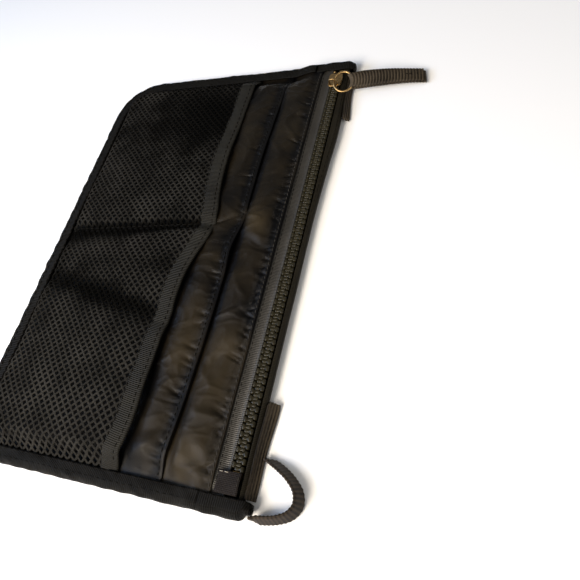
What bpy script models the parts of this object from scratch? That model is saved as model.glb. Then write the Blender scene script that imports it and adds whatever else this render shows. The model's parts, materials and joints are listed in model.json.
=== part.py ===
"""Cable organizer pouch: a flat zipped fabric pouch with tiered pockets on its front.

The pouch lies on its back. X runs along the zipper, +Y points across the pouch towards
the zipper, +Z points up out of the pocket side. The origin is on the underside of the
back panel, in the middle of the pouch's bound outline. All named sizes are in
millimetres and become metres where a mesh is made.
"""
from math import asin, cos, pi, radians, sin, sqrt

import bmesh
import bpy
from mathutils import Matrix, Vector

MM = 0.001
GAP = 0.3                    # air between neighbouring pieces

# Bound outline
HALF_LENGTH = 127.0          # along the zipper
BOTTOM_Y = -79.5             # bottom edge of the pouch
CORNER_R = 28.0              # the two rounded corners, at the bottom edge
BINDING_W = 10.0             # each leg of the folded edge binding
BINDING_T = 0.45
INSET = 1.0                  # panels stop this far inside the binding's outer wall

# Heights of the stacked sheets: underside where they are bound, underside in the field
FRONT_T = 0.5
TAFFETA_T = 0.4
MESH_T = 0.5
FRONT_Z = (1.5, 5.5)
POCKET_A_Z = (2.3, 6.3)
POCKET_B_Z = (3.0, 7.0)
MESH_Z = (3.7, 7.7)
BACK_T = 1.2
BACK_BORDER_Z = 0.75
RISE = 22.0                  # width over which the sheets climb from the bound edge
MOUTH_RISE = (46.0, 58.0)    # Y range where the bound sides open towards the zipper
MESH_BULGE = 4.4             # how far the slack mesh stands off its base
DIVIDER_X = -8.0             # seam that splits the mesh into two pockets
DIVIDER_HALF = 1.5
LIP_Z = (4.5, 7.0)           # underside of the binding's upper leg, along and at the mouth

# Pocket mouths
HEM_A_Y = 64.6
FRONT_TOP_Y = 65.2
MOUTH_B = [(-126, 45.4), (-95, 44), (-70, 43.1), (-20, 42.5), (30, 42), (77, 41.6), (126, 39)]
MOUTH_MESH = [(-126, 18), (-90, 22.5), (-50, 23), (-26, 24.5), (-8, 27.5), (8, 23.5),
              (24, 21), (55, 20), (90, 20.5), (126, 17)]
MOUTH_TAPE_W = 9.0           # binding along the mesh pockets' mouth
MOUTH_TAPE_T = 0.45

# Zipper
CHAIN_Y = 73.7
TAPE_Z = (4.7, 5.2)
TAPE_END_X = 125.8
FRONT_TAPE_Y = (60.0, 70.2)
PITCH = 3.1
TEETH = 71
FIRST_TOOTH_X = -110.3
TOOTH_W = 1.25
TOOTH_REACH = 1.3            # how far a tooth passes the centre line
SPINE = (1.9, 2.9)           # bead that joins one side's teeth, from the centre line
TOOTH_Z = (3.65, 6.25)
WALL_Y = (79.0, 79.7)        # turned-up edge of the back panel
WALL_TOP = 4.4
BACK_TAPE_LIP_Y = (80.0, 80.5)
BACK_TAPE_LIP_Z = 2.6

# Slider, ring and pull
SLIDER_X = (-116.2, -105.8)
SLIDER_HALF = (4.9, 4.0)     # half widths at the wide end and at the narrow end
SLIDER_Z = (2.45, 7.45)
PLATE_T = 0.9
FLANGE_T = 0.8
SLOT_Z = (4.4, 5.5)
BAIL_X = -107.0
BAIL_W = 1.6
BAIL_HALF = 3.3
BAIL_HOLE_HALF = 2.2
BAIL_HOLE_Z = (7.75, 10.9)
BAIL_TOP = 11.8
RING_R = 5.6
RING_WIRE_R = 0.65
RING_HINGE = (BAIL_X, CHAIN_Y + 0.4, 9.32)
RING_SLOPE = 7.0             # degrees down, away from the slider
RING_TILT = 26.0             # degrees, the side towards +X lower
PULL_TURN = -10.0            # degrees round the ring, towards -X
PULL_W = 10.0
PULL_T = 2.2
PULL_START = 2.8             # the doubled strap begins this far from the ring's centre
PULL_REACH = 44.5            # from the ring's centre to the folded tip
PULL_SAG = 4.6
SLEEVE_R = 2.0
TUNNEL_R = 0.95
SLEEVE_HALF = 59.0           # degrees of ring covered on each side of the pull

# Ends, tabs and hang loop
CAP_INNER_X = 117.0
CAP_Y = (60.6, 83.2)
TAB_Y = (80.8, 82.0)
TAB_NEAR = ((79.0, 116.7), (0.3, 5.0))
TAB_FAR = ((-116.7, -84.0), (0.3, 4.2))
STOP_NEAR = ((109.3, 112.3), (3.4, 6.5))
TOP_STOP = ((-119.6, -118.3), (1.0, 2.9), (3.6, 6.3))  # Y counted from the centre line
PATCH = ((109.6, 116.7), (68.0, 76.2), (6.8, 7.2))
LOOP_Z = (0.3, 9.3)
LOOP_T = 1.3
LOOP_ROUTE = [(102, 82.3), (103, 86.8), (105.1, 91.6), (108.5, 96.6), (112.8, 100.2),
              (117, 100.9), (120.7, 98.6), (123.1, 94), (124.4, 88.5), (125, 83.5)]

# Columns and rows of the sheets' grids
EDGE_COLUMNS = [126, 124.5, 121, 116.5, 110, 103, 95]
PLAIN_COLUMNS = [60, 20, -20, -60]
DIVIDER_COLUMNS = [60, 35, 15.5, 8, 1, -6.5, -9.5, -17, -24, -31.5, -60]
EDGE_ROWS = [0, 5, 10, 16, 24, 34]


# ---------------------------------------------------------------- small helpers
def clear_scene():
    for obj in list(bpy.data.objects):
        bpy.data.objects.remove(obj, do_unlink=True)


def material(name, color, roughness, metallic=0.0):
    mat = bpy.data.materials.get(name) or bpy.data.materials.new(name)
    mat.use_nodes = True
    shader = mat.node_tree.nodes["Principled BSDF"]
    shader.inputs["Base Color"].default_value = (*color, 1.0)
    shader.inputs["Roughness"].default_value = roughness
    shader.inputs["Metallic"].default_value = metallic
    mat.diffuse_color = (*color, 1.0)
    return mat


def smooth(t):
    t = min(max(t, 0.0), 1.0)
    return t * t * (3 - 2 * t)


def along(points, x):
    """Height of a smooth curve through a few (x, y) points, by Catmull-Rom."""
    points = [points[0], *points, points[-1]]
    for i in range(1, len(points) - 2):
        (x1, y1), (x2, y2) = points[i], points[i + 1]
        if x <= x2 or i == len(points) - 3:
            t = (x - x1) / (x2 - x1)
            m1 = (y2 - points[i - 1][1]) / (x2 - points[i - 1][0]) * (x2 - x1)
            m2 = (points[i + 2][1] - y1) / (points[i + 2][0] - x1) * (x2 - x1)
            return ((2 * t**3 - 3 * t**2 + 1) * y1 + (t**3 - 2 * t**2 + t) * m1
                    + (3 * t**2 - 2 * t**3) * y2 + (t**3 - t**2) * m2)
    return points[-1][1]


def new_object(name, bm, mat, parent=None, origin=(0, 0, 0)):
    """Turns a bmesh in millimetres into a closed object whose origin is at origin."""
    bmesh.ops.recalc_face_normals(bm, faces=bm.faces)
    bmesh.ops.transform(bm, matrix=Matrix.Translation(-Vector(origin)), verts=bm.verts)
    bmesh.ops.scale(bm, vec=(MM, MM, MM), verts=bm.verts)
    mesh = bpy.data.meshes.new(name)
    bm.to_mesh(mesh)
    bm.free()
    mesh.materials.append(mat)
    obj = bpy.data.objects.new(name, mesh)
    bpy.context.collection.objects.link(obj)
    obj.location = Vector(origin) * MM
    if parent:
        obj.parent = parent
        obj.location -= parent.location
        if parent.parent:
            obj.location -= parent.parent.location
    return obj


def empty(name, place, parent=None):
    """A joint's empty; parents here are never more than two deep."""
    obj = bpy.data.objects.new(name, None)
    bpy.context.collection.objects.link(obj)
    obj.location = Vector(place) * MM
    if parent:
        obj.parent = parent
        obj.location -= parent.location
    obj.empty_display_size = 0.01
    return obj


def prism(bm, outline, low, high, axis="Z"):
    """Extrudes a closed outline between two heights along one axis."""
    place = {"Z": lambda a, b, h: (a, b, h), "X": lambda a, b, h: (h, a, b)}[axis]
    base = [bm.verts.new(place(a, b, low)) for a, b in outline]
    top = [bm.verts.new(place(a, b, high)) for a, b in outline]
    bm.faces.new(base)
    bm.faces.new(top)
    for i in range(len(outline)):
        j = (i + 1) % len(outline)
        bm.faces.new((base[i], base[j], top[j], top[i]))
    return bm


def box(bm, x, y, z):
    return prism(bm, [(x[0], y[0]), (x[1], y[0]), (x[1], y[1]), (x[0], y[1])], *z)


def loft(bm, rings):
    """Joins equal closed sections, given as lists of points, into one closed solid."""
    rings = [[bm.verts.new(p) for p in ring] for ring in rings]
    count = len(rings[0])
    bm.faces.new(rings[0])
    bm.faces.new(rings[-1])
    for a, b in zip(rings, rings[1:]):
        for i in range(count):
            j = (i + 1) % count
            bm.faces.new((a[i], a[j], b[j], b[i]))
    return bm


def boolean(obj, cutter, operation):
    mod = obj.modifiers.new(operation.lower() + "_" + cutter.name, "BOOLEAN")
    mod.operation = operation
    mod.solver = "EXACT"
    mod.object = cutter
    cutter.hide_render = True
    cutter.display_type = "WIRE"


# ---------------------------------------------------------------- the pouch's surface
def edge_distance(x, y):
    """How far a point lies inside the bound outline; the zipper side has no edge."""
    across = HALF_LENGTH - abs(x)
    up = y - BOTTOM_Y
    if across < CORNER_R and up < CORNER_R:
        return CORNER_R - sqrt((CORNER_R - across) ** 2 + (CORNER_R - up) ** 2)
    return min(across, up)


def fullness(x, y):
    """0 where the sheets are bound together, 1 in the open field and at the mouth."""
    field = smooth((edge_distance(x, y) - BINDING_W) / RISE)
    mouth = smooth((y - MOUTH_RISE[0]) / (MOUTH_RISE[1] - MOUTH_RISE[0]))
    return field + (1 - field) * mouth


def sheet_height(levels, x, y):
    return levels[0] + (levels[1] - levels[0]) * fullness(x, y)


def mesh_height(x, y):
    from_edge = smooth((edge_distance(x, y) - BINDING_W) / (RISE + 2))
    from_divider = smooth((abs(x - DIVIDER_X) - DIVIDER_HALF) / (RISE - 1))
    return sheet_height(MESH_Z, x, y) + MESH_BULGE * from_edge * from_divider


def lowest_y(x):
    """Bottom end of a sheet's column, inside the binding."""
    past = abs(x) - (HALF_LENGTH - CORNER_R)
    r = CORNER_R - INSET
    centre = BOTTOM_Y + CORNER_R
    return centre - (r if past <= 0 else sqrt(max(r * r - past * past, 0)))


def columns(middle):
    return sorted([-x for x in EDGE_COLUMNS] + middle + EDGE_COLUMNS)


def slab(bm, xs, rows, underside, thickness):
    """A closed sheet: rows(x) gives one column's Y values, underside(x, y) its height."""
    levels = []
    for lift in (0.0, thickness):
        grid = [[bm.verts.new((x, y, underside(x, y) + lift)) for y in rows(x)] for x in xs]
        levels.append(grid)
        for a, b in zip(grid, grid[1:]):
            for j in range(len(a) - 1):
                bm.faces.new((a[j], b[j], b[j + 1], a[j + 1]))
    low, high = levels

    def rim(grid):
        right = [column[-1] for column in grid[1:-1]]
        left = [column[0] for column in grid[1:-1]]
        return grid[0][::-1] + left + grid[-1] + right[::-1]

    a, b = rim(low), rim(high)
    for i in range(len(a)):
        j = (i + 1) % len(a)
        bm.faces.new((a[i], a[j], b[j], b[i]))
    return bm


def sheet(name, mat, levels, thickness, upper_rows, middle=PLAIN_COLUMNS, height=None):
    """One fabric sheet from the bound bottom edge up to upper_rows(x)."""
    def rows(x):
        return [lowest_y(x) + r for r in EDGE_ROWS] + upper_rows(x)

    def underside(x, y):
        return height(x, y) if height else sheet_height(levels, x, y)

    return new_object(name, slab(bmesh.new(), columns(middle), rows, underside, thickness), mat)


# ---------------------------------------------------------------- panels and pockets
def build_back_panel(mat):
    """Flat back with a thinner bound border and a turned-up edge along the mouth."""
    bm = bmesh.new()
    field = HALF_LENGTH - BINDING_W - GAP
    outline = []
    for x in EDGE_COLUMNS[:-1] + [HALF_LENGTH - CORNER_R]:
        outline.append((-x, lowest_y(x)))
    outline += [(-x, y) for x, y in outline[::-1]]
    top = WALL_Y[0] - GAP
    prism(bm, outline + [(126, top), (-126, top)], BACK_BORDER_Z, BACK_T)
    panel = new_object("back_panel", bm, mat)
    bm = bmesh.new()
    low = BOTTOM_Y + BINDING_W + GAP
    cut = CORNER_R - BINDING_W
    steps = [i * pi / 10 for i in range(6)]
    round_end = [(field - cut + cut * sin(a), low + cut - cut * cos(a)) for a in steps]
    outline = [(-x, y) for x, y in round_end[::-1]] + round_end
    prism(bm, outline + [(field, WALL_Y[1]), (-field, WALL_Y[1])], 0.0, BACK_T - 0.1)
    boolean(panel, new_object("back_field", bm, mat), "UNION")
    wall = box(bmesh.new(), (-field, field), WALL_Y, (0.2, WALL_TOP))
    boolean(panel, new_object("back_wall", wall, mat), "UNION")


def build_front_layers(fabric, taffeta, mesh_mat):
    def up_to(top):
        return lambda x: [10, 40, 46, 50, 54, 58, top]

    sheet("front_panel", fabric, FRONT_Z, FRONT_T, up_to(FRONT_TOP_Y))
    sheet("pocket_a", taffeta, POCKET_A_Z, TAFFETA_T, up_to(HEM_A_Y))
    sheet("pocket_b", taffeta, POCKET_B_Z, TAFFETA_T, lambda x: [10, along(MOUTH_B, x)])
    sheet("mesh_pockets", mesh_mat, MESH_Z, MESH_T,
          lambda x: [along(MOUTH_MESH, x) - MOUTH_TAPE_W, along(MOUTH_MESH, x)],
          DIVIDER_COLUMNS, mesh_height)


def build_mouth_tape(mat):
    """Grosgrain tape over the mesh's upper edge: a leg on top and a lip in front."""
    inner = HALF_LENGTH - BINDING_W - GAP
    xs = [x for x in columns(DIVIDER_COLUMNS) if abs(x) < inner]
    rings = []
    for x in [-inner, *xs, inner]:
        y = along(MOUTH_MESH, x)
        back = mesh_height(x, y - MOUTH_TAPE_W) + MESH_T + GAP
        front = mesh_height(x, y) + MESH_T + GAP
        under = mesh_height(x, y)
        section = [(y - MOUTH_TAPE_W, back), (y + GAP, front), (y + GAP, under),
                   (y + GAP + MOUTH_TAPE_T, under), (y + GAP + MOUTH_TAPE_T, front + MOUTH_TAPE_T),
                   (y - MOUTH_TAPE_W, back + MOUTH_TAPE_T)]
        rings.append([(x, a, b) for a, b in section])
    new_object("mesh_mouth_tape", loft(bmesh.new(), rings), mat)


def binding_stations():
    """Places round the bound edge, from the far zipper end to the near one: point, inward."""
    side = [CAP_Y[0] - GAP, 58, 54, 50, 46, 0]
    centre = (HALF_LENGTH - CORNER_R, BOTTOM_Y + CORNER_R)
    near = [((HALF_LENGTH, y), (-1, 0)) for y in side]
    for i in range(9):
        a = i * pi / 16
        out = (cos(a), -sin(a))
        point = (centre[0] + CORNER_R * out[0], centre[1] + CORNER_R * out[1])
        near.append((point, (-out[0], -out[1])))
    far = [((-p[0], p[1]), (-n[0], n[1])) for p, n in near]
    return far + near[::-1]


def build_edge_binding(mat):
    """One folded tape round both ends and the bottom: a C over all the stacked edges."""
    rings = []
    for point, inward in binding_stations():
        mouth = smooth((point[1] - MOUTH_RISE[0]) / (MOUTH_RISE[1] - MOUTH_RISE[0]))
        lip = LIP_Z[0] + (LIP_Z[1] - LIP_Z[0]) * mouth
        section = [(0, 0), (BINDING_W, 0), (BINDING_W, BINDING_T), (BINDING_T, BINDING_T),
                   (BINDING_T, lip), (BINDING_W, lip), (BINDING_W, lip + BINDING_T),
                   (0, lip + BINDING_T)]
        rings.append([(point[0] + n * inward[0], point[1] + n * inward[1], z)
                      for n, z in section])
    new_object("edge_binding", loft(bmesh.new(), rings), mat)


def build_corner_cap(name, side, mat):
    """Folded tape that wraps one end of the zipper and closes the pouch's corner."""
    x = sorted((side * CAP_INNER_X, side * HALF_LENGTH))
    top = LIP_Z[1] + BINDING_T
    cap = new_object(name, box(bmesh.new(), x, CAP_Y, (0, top)), mat)
    x = sorted((side * (CAP_INNER_X - 2), side * (HALF_LENGTH - BINDING_T)))
    hollow = box(bmesh.new(), x, (CAP_Y[0] - 2, CAP_Y[1] - BINDING_T), (BINDING_T, LIP_Z[1]))
    boolean(cap, new_object(name + "_hollow", hollow, mat), "DIFFERENCE")


# ---------------------------------------------------------------- zipper
def build_tapes(mat):
    tape = box(bmesh.new(), (-TAPE_END_X, TAPE_END_X), FRONT_TAPE_Y, TAPE_Z)
    new_object("zip_tape_front", tape, mat)
    inner = 2 * CHAIN_Y - FRONT_TAPE_Y[1]
    low, high = TAPE_Z
    section = [(inner, low), (BACK_TAPE_LIP_Y[0], low), (BACK_TAPE_LIP_Y[0], BACK_TAPE_LIP_Z),
               (BACK_TAPE_LIP_Y[1], BACK_TAPE_LIP_Z), (BACK_TAPE_LIP_Y[1], high), (inner, high)]
    tape = prism(bmesh.new(), section, -TAPE_END_X, TAPE_END_X, axis="X")
    new_object("zip_tape_back", tape, mat)


def build_teeth(name, side, shift, mat):
    """One side of the moulded chain: its teeth and the bead they are moulded on."""
    half = TOOTH_W / 2
    tip = TOOTH_REACH
    shape = [(-half, -SPINE[0]), (-half, tip - 0.35), (-half + 0.3, tip), (half - 0.3, tip),
             (half, tip - 0.35), (half, -SPINE[0])]
    xs = [FIRST_TOOTH_X + shift + i * PITCH for i in range(TEETH)]
    outline = [(xs[0] - PITCH / 4, -SPINE[1]), (xs[0] - PITCH / 4, -SPINE[0])]
    for x in xs:
        outline += [(x + a, b) for a, b in shape]
    outline += [(xs[-1] + PITCH / 4, -SPINE[0]), (xs[-1] + PITCH / 4, -SPINE[1])]
    outline = [(x, CHAIN_Y + side * y) for x, y in outline]
    new_object(name, prism(bmesh.new(), outline, *TOOTH_Z), mat)


def build_stops(metal):
    x, z = STOP_NEAR
    stop = box(bmesh.new(), x, (CHAIN_Y - SPINE[1], CHAIN_Y + SPINE[1]), z)
    new_object("bottom_stop", stop, metal)
    x, away, z = TOP_STOP
    for name, side in (("top_stop_front", -1), ("top_stop_back", 1)):
        y = sorted(CHAIN_Y + side * a for a in away)
        new_object(name, box(bmesh.new(), x, y, z), metal)


def build_slider(metal, parent):
    """Y-shaped slider: two plates joined by a wedge, side flanges and a bail on top."""
    wide, narrow = SLIDER_HALF
    x0, x1 = SLIDER_X
    shoulder = x0 + 3.4
    waist = shoulder + 2.6
    half = [(x1, narrow - 0.7), (x1 - 0.7, narrow), (waist, narrow), (shoulder, wide),
            (x0 + 1.2, wide), (x0 + 0.3, wide - 0.9), (x0, 1.9), (x0 + 0.5, 0.0)]
    outline = half + [(x, -y) for x, y in half[-2::-1]]
    body = prism(bmesh.new(), [(x, CHAIN_Y + y) for x, y in outline], *SLIDER_Z)
    slider = new_object("zip_slider", body, metal, parent)
    inner = [(x1 + 1, narrow - FLANGE_T), (waist, narrow - FLANGE_T),
             (shoulder, wide - FLANGE_T), (x0 - 1, wide - FLANGE_T), (x0 - 1, 1.5),
             (x0 + 1.4, 1.4), (x0 + 4.4, 0.0)]
    outline = inner + [(x, -y) for x, y in inner[-2::-1]]
    cutter = prism(bmesh.new(), [(x, CHAIN_Y + y) for x, y in outline],
                   SLIDER_Z[0] + PLATE_T, SLIDER_Z[1] - PLATE_T)
    boolean(slider, new_object("slider_channel", cutter, metal), "DIFFERENCE")
    for side in (-1, 1):
        y = sorted((CHAIN_Y + side * (narrow - FLANGE_T - 0.4), CHAIN_Y + side * (wide + 2)))
        slot = box(bmesh.new(), (x0 - 1, x1 + 1), y, SLOT_Z)
        boolean(slider, new_object("slider_slot_%d" % side, slot, metal), "DIFFERENCE")
    crown = BAIL_TOP - SLIDER_Z[1]
    arch = [(-BAIL_HALF, -0.3), (BAIL_HALF, -0.3), (BAIL_HALF, crown - 1.2),
            (BAIL_HALF - 1.2, crown), (1.2 - BAIL_HALF, crown), (-BAIL_HALF, crown - 1.2)]
    arch = [(CHAIN_Y + y, SLIDER_Z[1] + z) for y, z in arch]
    bail = prism(bmesh.new(), arch, BAIL_X - BAIL_W / 2, BAIL_X + BAIL_W / 2, axis="X")
    boolean(slider, new_object("slider_bail", bail, metal), "UNION")
    hole = box(bmesh.new(), (BAIL_X - BAIL_W, BAIL_X + BAIL_W),
               (CHAIN_Y - BAIL_HOLE_HALF, CHAIN_Y + BAIL_HOLE_HALF), BAIL_HOLE_Z)
    boolean(slider, new_object("bail_hole", hole, metal), "DIFFERENCE")


# ---------------------------------------------------------------- ring and pull
def ring_axes():
    """Unit vectors of the tilted ring: away from the slider, across it, and its normal."""
    turn = Matrix.Rotation(-radians(RING_SLOPE), 3, "X") @ Matrix.Rotation(
        radians(RING_TILT), 3, "Y")
    return turn @ Vector((0, 1, 0)), turn @ Vector((1, 0, 0)), turn @ Vector((0, 0, 1))


def ring_centre():
    return Vector(RING_HINGE) + RING_R * ring_axes()[0]


def ring_tube(centre, start, end, major, minor, segments, sides, closed):
    """A round tube along an arc of the ring, in rings of points."""
    away, across, normal = ring_axes()
    rings = []
    for i in range(segments if closed else segments + 1):
        a = start + (end - start) * i / segments
        out = cos(a) * away + sin(a) * across
        rings.append([centre + out * (major + minor * cos(b)) + normal * (minor * sin(b))
                      for b in (2 * pi * k / sides for k in range(sides))])
    return rings


def closed_tube(bm, rings):
    rings = [[bm.verts.new(p) for p in ring] for ring in rings]
    for a, b in zip(rings, rings[1:] + rings[:1]):
        for i in range(len(a)):
            j = (i + 1) % len(a)
            bm.faces.new((a[i], a[j], b[j], b[i]))
    return bm


def build_ring(metal, parent):
    rings = ring_tube(ring_centre(), 0, 2 * pi, RING_R, RING_WIRE_R, 28, 10, True)
    ring = new_object("pull_ring", closed_tube(bmesh.new(), rings), metal, parent, RING_HINGE)
    ring.data.shade_smooth()


def pull_frame(distance):
    """Centre, width direction and face direction of the pull at a distance from the ring."""
    away, across, normal = ring_axes()
    turn = radians(PULL_TURN)
    out = cos(turn) * away + sin(turn) * across
    side = cos(turn) * across - sin(turn) * away
    t = max(distance - RING_R, 0) / (PULL_REACH - RING_R)
    centre = ring_centre() + distance * out - Vector((0, 0, PULL_SAG * t * t))
    flat = Vector((out.y, -out.x, 0)).normalized()
    width = side.lerp(flat, smooth(t)).normalized()
    ahead = out - Vector((0, 0, 2 * PULL_SAG * t / (PULL_REACH - RING_R)))
    return centre, width, width.cross(ahead).normalized()


def build_pull(mat, parent):
    """Webbing folded through the ring: a doubled strap that ends in a sleeve on the wire."""
    bevel = 0.5
    corners = [(PULL_W / 2 - bevel, PULL_T / 2), (PULL_W / 2, PULL_T / 2 - bevel)]
    corners += [(a, -b) for a, b in corners[::-1]]
    corners += [(-a, b) for a, b in corners[::-1]]
    rings = []
    steps = 9
    for i in range(steps + 1):
        centre, width, face = pull_frame(PULL_START + (PULL_REACH - PULL_START) * i / steps)
        rings.append([centre + a * width + b * face for a, b in corners])
    pull = new_object("pull_webbing", loft(bmesh.new(), rings), mat, parent, ring_centre())
    away, across, normal = ring_axes()
    disc = [[ring_centre() + RING_R * (cos(a) * away + sin(a) * across) + h * normal
             for a in (2 * pi * k / 32 for k in range(32))] for h in (-PULL_W / 2, PULL_W / 2)]
    boolean(pull, new_object("pull_disc", loft(bmesh.new(), disc), mat), "DIFFERENCE")
    turn = radians(PULL_TURN)
    half = radians(SLEEVE_HALF)
    sleeve = ring_tube(ring_centre(), turn - half, turn + half, RING_R, SLEEVE_R, 9, 12, False)
    boolean(pull, new_object("pull_sleeve", loft(bmesh.new(), sleeve), mat), "UNION")
    tunnel = ring_tube(ring_centre(), 0, 2 * pi, RING_R, TUNNEL_R, 32, 10, True)
    boolean(pull, new_object("pull_tunnel", closed_tube(bmesh.new(), tunnel), mat), "DIFFERENCE")


# ---------------------------------------------------------------- end pieces
def build_tabs(mat):
    for name, (x, z) in (("side_tab_near", TAB_NEAR), ("side_tab_far", TAB_FAR)):
        new_object(name, box(bmesh.new(), x, TAB_Y, z), mat)
    new_object("zip_end_patch", box(bmesh.new(), *PATCH), mat)


def build_hang_loop(mat, parent, origin):
    """Webbing that stands on edge and arches out from the near end of the zipper side."""
    points = [Vector((x, y, 0)) for x, y in LOOP_ROUTE]
    fine = []
    for i in range(len(points) - 1):
        before = points[max(i - 1, 0)]
        after = points[min(i + 2, len(points) - 1)]
        p, q = points[i], points[i + 1]
        for t in (0.0, 0.5):
            fine.append(0.5 * ((2 * p) + (q - before) * t + (2 * before - 5 * p + 4 * q - after)
                               * t**2 + (3 * p - before - 3 * q + after) * t**3))
    fine.append(points[-1])
    rings = []
    for i, point in enumerate(fine):
        ahead = (fine[min(i + 1, len(fine) - 1)] - fine[max(i - 1, 0)]).normalized()
        if i in (0, len(fine) - 1):
            ahead = Vector((0, 1 if i == 0 else -1, 0))
        out = Vector((ahead.y, -ahead.x, 0)) * LOOP_T / 2
        rings.append([(*(point + s * out).xy, z)
                      for s, z in ((1, LOOP_Z[0]), (1, LOOP_Z[1]), (-1, LOOP_Z[1]), (-1, LOOP_Z[0]))])
    new_object("hang_loop", loft(bmesh.new(), rings), mat, parent, origin)


def main():
    clear_scene()
    fabric = material("fabric_black", (0.012, 0.012, 0.013), 0.85)
    taffeta = material("taffeta_black", (0.014, 0.014, 0.016), 0.45)
    mesh_mat = material("mesh_black", (0.012, 0.012, 0.013), 0.8)
    binding = material("grosgrain_black", (0.018, 0.018, 0.018), 0.8)
    tape = material("zip_tape_black", (0.03, 0.03, 0.032), 0.6)
    plastic = material("teeth_black", (0.02, 0.02, 0.02), 0.35)
    webbing = material("webbing_black", (0.02, 0.019, 0.018), 0.75)
    brass = material("antique_brass", (0.42, 0.28, 0.12), 0.35, 1.0)

    build_back_panel(fabric)
    build_front_layers(fabric, taffeta, mesh_mat)
    build_mouth_tape(binding)
    build_edge_binding(binding)
    build_corner_cap("corner_cap_near", 1, binding)
    build_corner_cap("corner_cap_far", -1, binding)
    build_tapes(tape)
    build_teeth("zip_teeth_front", 1, 0.0, plastic)
    build_teeth("zip_teeth_back", -1, PITCH / 2, plastic)
    build_stops(brass)
    build_tabs(webbing)

    slide = empty("slider_joint", (0, 0, 0))
    swing = empty("ring_joint", RING_HINGE, slide)
    build_slider(brass, slide)
    build_ring(brass, swing)
    build_pull(webbing, swing)
    hinge = (sum(p[0] for p in (LOOP_ROUTE[0], LOOP_ROUTE[-1])) / 2, LOOP_ROUTE[0][1], LOOP_Z[1])
    build_hang_loop(webbing, empty("loop_joint", hinge), hinge)


main()
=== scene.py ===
"""Looks of the cable organizer pouch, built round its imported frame.

The sizes of the pouch are in millimetres in the frame's own axes: X along the zipper, +Y
towards it, +Z up out of the pockets. mesh_object makes them metres. Heights of bumps in the
materials, the lights and the camera are in metres. Colours are linear.
"""
import json
from math import cos, pi, radians, sin, sqrt

import bmesh
import bpy
import numpy as np
from mathutils import Matrix, Vector


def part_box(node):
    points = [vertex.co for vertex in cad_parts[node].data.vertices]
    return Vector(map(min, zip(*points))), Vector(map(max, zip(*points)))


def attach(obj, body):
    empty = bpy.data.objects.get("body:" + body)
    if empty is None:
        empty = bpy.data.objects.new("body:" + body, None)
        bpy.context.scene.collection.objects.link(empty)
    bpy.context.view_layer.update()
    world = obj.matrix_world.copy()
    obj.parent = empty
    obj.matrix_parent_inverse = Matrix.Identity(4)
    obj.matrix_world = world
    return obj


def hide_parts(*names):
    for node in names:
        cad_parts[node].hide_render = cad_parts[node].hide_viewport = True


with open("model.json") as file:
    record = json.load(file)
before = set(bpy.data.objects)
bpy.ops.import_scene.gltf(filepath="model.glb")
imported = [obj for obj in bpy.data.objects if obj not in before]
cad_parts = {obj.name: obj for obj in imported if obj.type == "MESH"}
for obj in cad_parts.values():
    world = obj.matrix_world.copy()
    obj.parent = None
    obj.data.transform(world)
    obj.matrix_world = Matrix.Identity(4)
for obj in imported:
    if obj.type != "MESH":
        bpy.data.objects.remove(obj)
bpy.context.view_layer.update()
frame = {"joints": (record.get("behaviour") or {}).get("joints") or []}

MM = 0.001


def box_mm(node):
    low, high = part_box(node)
    return np.array(low) / MM, np.array(high) / MM


def joint(name):
    """Place and axis of a hinge of the frame, in millimetres."""
    found = next(j for j in frame["joints"] if j["name"] == name)
    return np.array(found["pos_m"]) / MM, np.array(found["axis"])


# Bound outline: its box comes from the frame
HALF_LENGTH = box_mm("edge_binding")[1][0]
BOTTOM_Y = box_mm("edge_binding")[0][1]
CORNER_R = 28.0
BINDING_W = 7.8
INSET = 1.0                      # the sheets end this far inside the outline
RISE = 13.0                      # the sheets climb over this width from the binding
MOUTH_RISE = (46.0, 58.0)        # Y range where the bound sides open towards the zipper
LIP_Z = (4.5, 7.0)               # underside of the binding's upper leg, bound and at the zipper

# Sheets: thickness, and height of the middle of the cloth where bound and in the field
BACK_T = 0.7
FRONT_Z = (1.75, 5.75)
POCKET_A_Z = (2.5, 6.45)
POCKET_B_Z = (3.2, 7.2)
MESH_Z = (3.95, 7.95)
MESH_BULGE = 4.3                 # the slack net stands up by this much more
CLOTH_T = 0.3
FRONT_TOP_Y = box_mm("front_panel")[1][1]
HEM_A_Y = box_mm("pocket_a")[1][1]
HEM_FOLD = 0.34                  # radius of a hem's rolled edge

# Mouths of the pockets: Y against X
MOUTH_B = [(-118, 45.1), (-95, 44), (-70, 43.1), (-40, 42.8), (-20, 43.2), (-13, 43.6), (-6, 42.6),
           (4, 41.6), (20, 41.9), (45, 42.2), (77, 41.7), (104, 40.4), (118, 39)]
MOUTH_MESH = [(-118, 23.6), (-107, 23.6), (-89, 23.2), (-65, 22.8), (-41, 23.6), (-26, 25.6),
              (-17, 27.4), (-10.5, 27.4), (-3, 27.2), (3, 25.9), (12, 23.4), (22, 21.3), (40, 20.2),
              (79, 20.5), (102, 20.9), (118, 16.8)]
TAPE_W = 9.0                     # tape over the edge of the net

# Zipper: where its rows of teeth lie comes from the frame
CHAIN_Y = (box_mm("zip_teeth_front")[0][1] + box_mm("zip_teeth_back")[1][1]) / 2
CHAIN_START = box_mm("zip_teeth_front")[0][0]
PITCH = 3.1                      # from tooth to tooth of one row
TEETH = 71                       # in each row
TAPE_Z = 4.95                    # middle of the zipper's tapes
RIB = 1.65                       # pitch of the webbing's cross ribs
FOLD_Y = [(-118, 80.1), (-98, 80.6), (-73, 81.3), (-50, 80.2), (-23, 79.2), (26, 79.0), (76, 78.8),
          (118, 78.9)]           # outer edge of the back tape, where it folds down


# -------------------------------- numbers and fields
def smooth(t):
    t = np.clip(t, 0.0, 1.0)
    return t * t * (3 - 2 * t)


def between(ends, share):
    return ends[0] + (ends[1] - ends[0]) * share


def stacked(*parts):
    """One array whose last axis holds the parts, each spread to their common shape."""
    return np.stack(np.broadcast_arrays(*parts), -1)


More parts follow.
